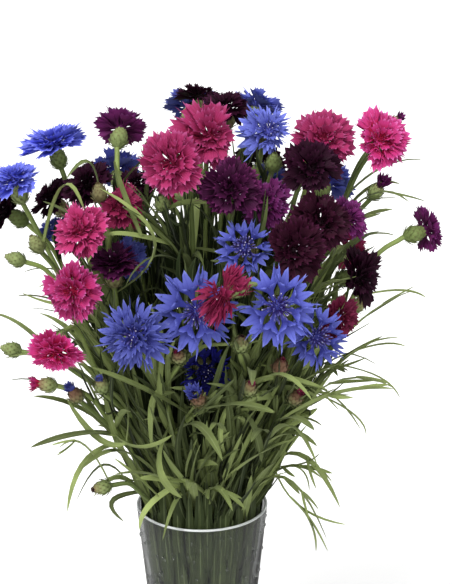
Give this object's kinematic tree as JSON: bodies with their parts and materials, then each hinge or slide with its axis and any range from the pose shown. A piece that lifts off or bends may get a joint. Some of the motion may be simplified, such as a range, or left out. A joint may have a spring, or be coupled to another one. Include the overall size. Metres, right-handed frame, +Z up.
{
  "type": "cornflower bouquet in a glass vase",
  "caption": "Loose bouquet of mixed blue, pink, purple and maroon cornflowers with their leaves and buds, standing in a conical clear glass of water.",
  "frame": {"origin": "centre of the flat underside of the glass, where it rests", "axes": "+Z up along the axis of the glass, -Y towards the front of the bunch, +X to its right"},
  "size_m": [0.3089, 0.2565, 0.4354],
  "materials": {
    "clear_glass": "clear, smooth, a few water drops outside",
    "water": "clear tap water",
    "foliage": "grey-green, slightly downy stems, leaves, cups and buds",
    "petal_blue": "soft matt cornflower blue",
    "petal_light_blue": "soft matt light blue",
    "petal_navy": "soft matt deep blue",
    "petal_magenta": "soft matt magenta",
    "petal_pink": "soft matt bright pink",
    "petal_crimson": "soft matt crimson",
    "petal_purple": "soft matt purple",
    "petal_dusk": "soft matt black-purple",
    "petal_wine": "soft matt wine red",
    "petal_maroon": "soft matt near-black maroon"
  },
  "bodies": {
    "root": {"glass_vase": "clear_glass", "vase_water": "water", "bloom_blue_01": "petal_blue", "bloom_blue_02": "petal_blue", "bloom_maroon_03": "petal_maroon", "bloom_maroon_04": "petal_maroon", "bloom_blue_05": "petal_blue", "bloom_blue_06": "petal_blue", "bloom_magenta_07": "petal_magenta", "bloom_maroon_08": "petal_maroon", "bloom_purple_09": "petal_purple", "bloom_maroon_10": "petal_maroon", "bloom_blue_11": "petal_blue", "bloom_magenta_12": "petal_magenta", "bloom_crimson_13": "petal_crimson", "bloom_dusk_14": "petal_dusk", "bloom_pink_15": "petal_pink", "bloom_pink_16": "petal_pink", "bloom_blue_17": "petal_blue", "bloom_blue_18": "petal_blue", "bloom_navy_19": "petal_navy", "bloom_crimson_20": "petal_crimson", "bloom_blue_21": "petal_blue", "bloom_blue_22": "petal_blue", "bloom_blue_23": "petal_blue", "bloom_wine_24": "petal_wine", "bloom_crimson_25": "petal_crimson", "bloom_maroon_26": "petal_maroon", "bloom_wine_27": "petal_wine", "bloom_purple_28": "petal_purple", "bloom_purple_29": "petal_purple", "bloom_maroon_30": "petal_maroon", "bloom_magenta_31": "petal_magenta", "bloom_pink_32": "petal_pink", "bloom_purple_33": "petal_purple", "bloom_light_blue_34": "petal_light_blue", "bloom_magenta_35": "petal_magenta", "bloom_magenta_36": "petal_magenta", "bloom_dusk_37": "petal_dusk", "bloom_maroon_38": "petal_maroon", "bloom_maroon_39": "petal_maroon", "bloom_blue_40": "petal_blue", "bloom_light_blue_41": "petal_light_blue", "bloom_blue_42": "petal_blue", "bloom_pink_43": "petal_pink", "bloom_maroon_44": "petal_maroon", "bloom_blue_45": "petal_blue", "bloom_purple_46": "petal_purple", "bloom_crimson_47": "petal_crimson", "leafy_stem_01": "foliage", "leafy_stem_02": "foliage", "leafy_stem_03": "foliage", "leafy_stem_04": "foliage", "leafy_stem_05": "foliage", "leafy_stem_06": "foliage", "leafy_stem_07": "foliage", "leafy_stem_08": "foliage", "leafy_stem_09": "foliage", "leafy_stem_10": "foliage", "leafy_stem_11": "foliage"}
  },
  "joints": []
}
